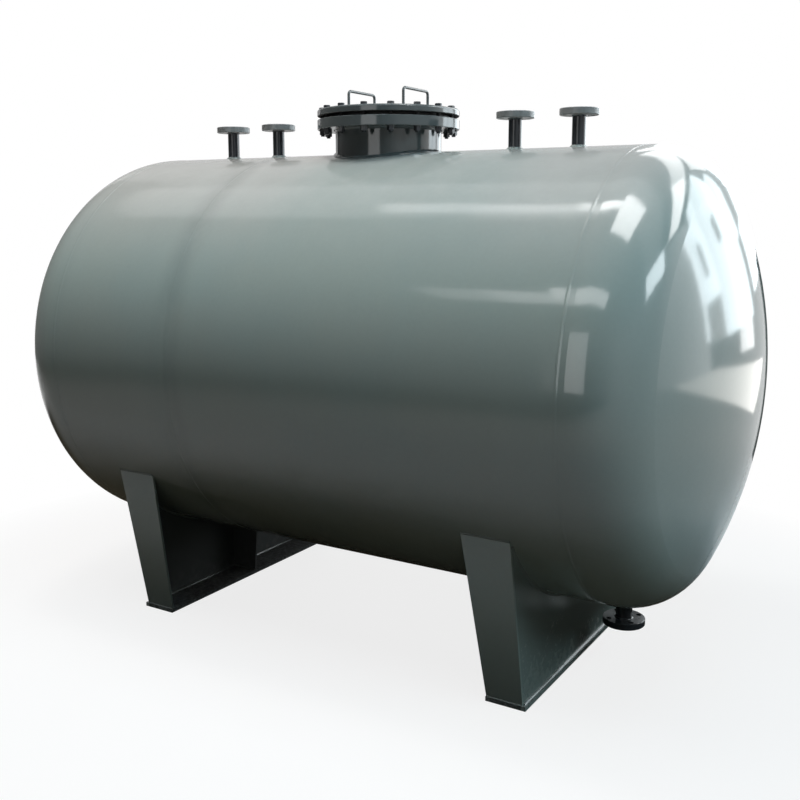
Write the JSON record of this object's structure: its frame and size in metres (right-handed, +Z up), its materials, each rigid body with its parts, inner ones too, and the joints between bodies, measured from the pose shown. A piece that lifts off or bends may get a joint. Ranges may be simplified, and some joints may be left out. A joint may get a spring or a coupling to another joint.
{
  "type": "horizontal aboveground fuel tank on saddles",
  "caption": "Horizontal cylindrical steel tank with dished heads, welded saddles, a bolted manhole and flanged nozzles, for storing fuel above ground.",
  "frame": {"origin": "on the floor under the middle of the tank", "axes": "+X along the tank towards the drain nozzle's end, +Y across it away from the camera, +Z up"},
  "size_m": [2.9072, 1.612, 2.129],
  "materials": {
    "shell": "glossy grey-green enamel",
    "heads": "glossy grey-green enamel",
    "saddles": "glossy grey-green enamel",
    "manhole": "glossy grey-green enamel",
    "handles": "glossy grey-green enamel",
    "gasket": "matte black",
    "nozzles": "glossy grey-green enamel"
  },
  "bodies": {
    "root": {"shell_long_course": "shell", "shell_short_course": "shell", "left_head": "heads", "right_head": "heads", "left_saddle_base_plate": "saddles", "left_saddle_web": "saddles", "left_saddle_rib": "saddles", "left_saddle_front_end_plate": "saddles", "left_saddle_back_end_plate": "saddles", "right_saddle_base_plate": "saddles", "right_saddle_web": "saddles", "right_saddle_rib": "saddles", "right_saddle_front_end_plate": "saddles", "right_saddle_back_end_plate": "saddles", "manhole_neck": "manhole", "manhole_flange": "manhole", "manhole_cover": "manhole", "manhole_left_handle": "handles", "manhole_right_handle": "handles", "manhole_gasket": "gasket", "top_nozzle_1_pipe": "nozzles", "top_nozzle_1_flange": "nozzles", "top_nozzle_2_pipe": "nozzles", "top_nozzle_2_flange": "nozzles", "top_nozzle_3_pipe": "nozzles", "top_nozzle_3_flange": "nozzles", "top_nozzle_4_pipe": "nozzles", "top_nozzle_4_flange": "nozzles", "drain_nozzle_pipe": "nozzles", "drain_nozzle_flange": "nozzles"}
  },
  "joints": []
}
